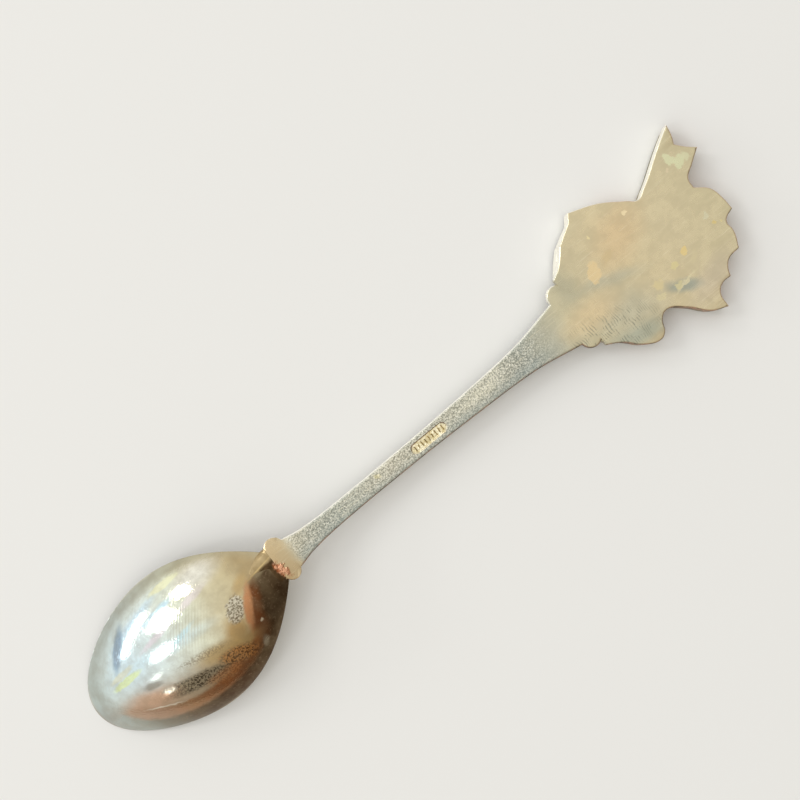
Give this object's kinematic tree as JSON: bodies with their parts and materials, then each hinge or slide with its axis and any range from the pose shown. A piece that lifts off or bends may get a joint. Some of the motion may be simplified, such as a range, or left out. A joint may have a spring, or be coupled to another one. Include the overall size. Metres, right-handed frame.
{
  "type": "souvenir spoon",
  "caption": "Small silver-plated souvenir spoon: egg-shaped bowl, slender stippled handle, flat-backed flower emblem.",
  "frame": {"origin": "middle of the spoon's overall length, on the handle's line, at the surface it lies on", "axes": "+X along the spoon from the bowl to the emblem, +Z out of the spoon's back, away from the surface it lies face down on, +Y across"},
  "size_m": [0.1164, 0.0252, 0.0089],
  "materials": {
    "bowl_plate": "polished silver plate, toned gold, copper and blue-grey",
    "handle_plate": "silver plate with a fine stipple, smooth at the ears and collar",
    "emblem_plate": "dressed flat, worn silver plate with bare gold-coloured flecks",
    "relief_plate": "struck relief, satin silver plate darkened in the hollows",
    "braze": "copper-coloured braze, dressed"
  },
  "bodies": {
    "root": {"bowl": "bowl_plate", "handle": "handle_plate", "emblem_plate": "emblem_plate", "emblem_relief": "relief_plate", "bowl_braze": "braze", "emblem_braze": "braze"}
  },
  "joints": []
}
